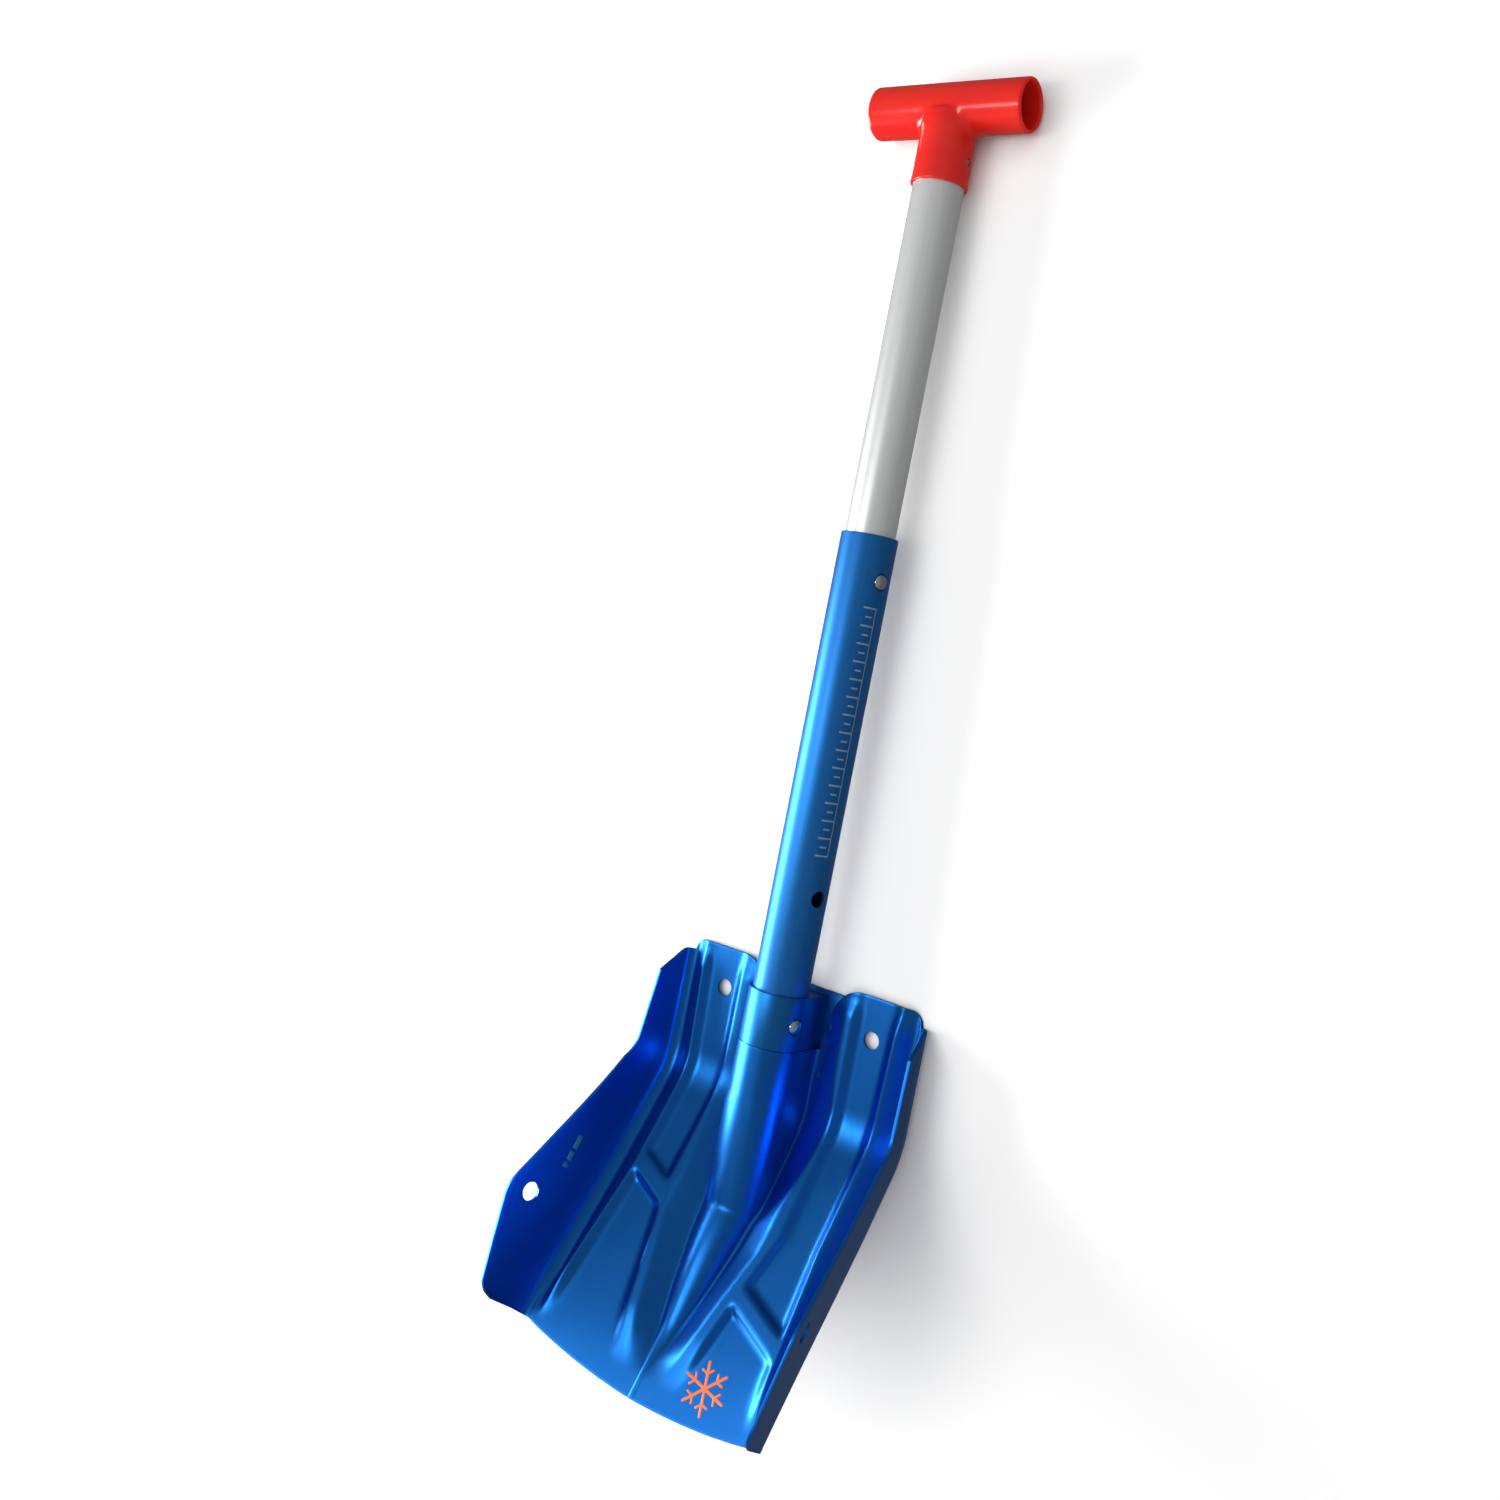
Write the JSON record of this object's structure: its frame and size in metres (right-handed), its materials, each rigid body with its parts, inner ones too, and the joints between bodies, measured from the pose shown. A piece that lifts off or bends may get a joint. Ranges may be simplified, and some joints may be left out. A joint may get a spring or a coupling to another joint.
{
  "type": "avalanche shovel",
  "caption": "Avalanche shovel with a pressed aluminium scoop blade, telescoping push-button shaft and hollow T-grip, lying on its back.",
  "frame": {"origin": "on the floor under the middle of the shovel, which lies on its back", "axes": "+Y from the blade towards the T-grip, +Z out of the blade's front, +X across the blade"},
  "size_m": [0.2222, 0.8068, 0.1406],
  "materials": {
    "blade_blue": "blue anodised, satin",
    "socket_blue": "blue anodised, satin",
    "rivets": "blue anodised, smooth",
    "tube_blue": "blue anodised, fine satin",
    "satin_silver": "clear anodised, satin",
    "button_steel": "polished",
    "spring_steel": "plain spring steel",
    "pin_steel": "plain",
    "grip_red": "slightly translucent moulded nylon",
    "black_plastic": "moulded"
  },
  "bodies": {
    "blade_assembly": {"blade": "blade_blue", "socket_collar": "socket_blue", "socket_back_plate": "socket_blue", "blade_rivet_lower_right": "rivets", "blade_rivet_upper_right": "rivets", "collar_rivet_right": "rivets", "blade_rivet_lower_left": "rivets", "blade_rivet_upper_left": "rivets", "collar_rivet_left": "rivets"},
    "lower_shaft_assembly": {"lower_shaft": "tube_blue", "shaft_end_plug": "black_plastic", "lock_button_spring": "spring_steel"},
    "lock_button_body": {"lock_button": "button_steel"},
    "upper_shaft_assembly": {"upper_shaft": "satin_silver", "guide_bush": "black_plastic", "length_button_spring": "spring_steel", "t_grip": "grip_red", "grip_pin": "pin_steel"},
    "length_button_body": {"length_button": "button_steel"}
  },
  "joints": [
    {"name": "shaft_pull_out", "type": "slide", "parent": "blade_assembly", "child": "lower_shaft_assembly", "axis": [0, 0.9998, -0.0189], "range_m": [0, 0.06], "deforming": ["lock_button"]},
    {"name": "shaft_telescope", "type": "slide", "parent": "lower_shaft_assembly", "child": "upper_shaft_assembly", "axis": [0, 0.9998, -0.0189], "range_m": [-0.1977, 0], "deforming": ["length_button"]},
    {"name": "lock_button_press", "type": "slide", "parent": "lower_shaft_assembly", "child": "lock_button_body", "axis": [-0.9659, -0.0049, -0.2588], "range_m": [0, 0.004], "stiffness_N_per_m": 900, "springref_m": -0.004, "deforming": ["lock_button_spring"]},
    {"name": "length_button_press", "type": "slide", "parent": "upper_shaft_assembly", "child": "length_button_body", "axis": [-0.9659, -0.0049, -0.2588], "range_m": [0, 0.004], "stiffness_N_per_m": 900, "springref_m": -0.004, "deforming": ["length_button_spring"]}
  ]
}
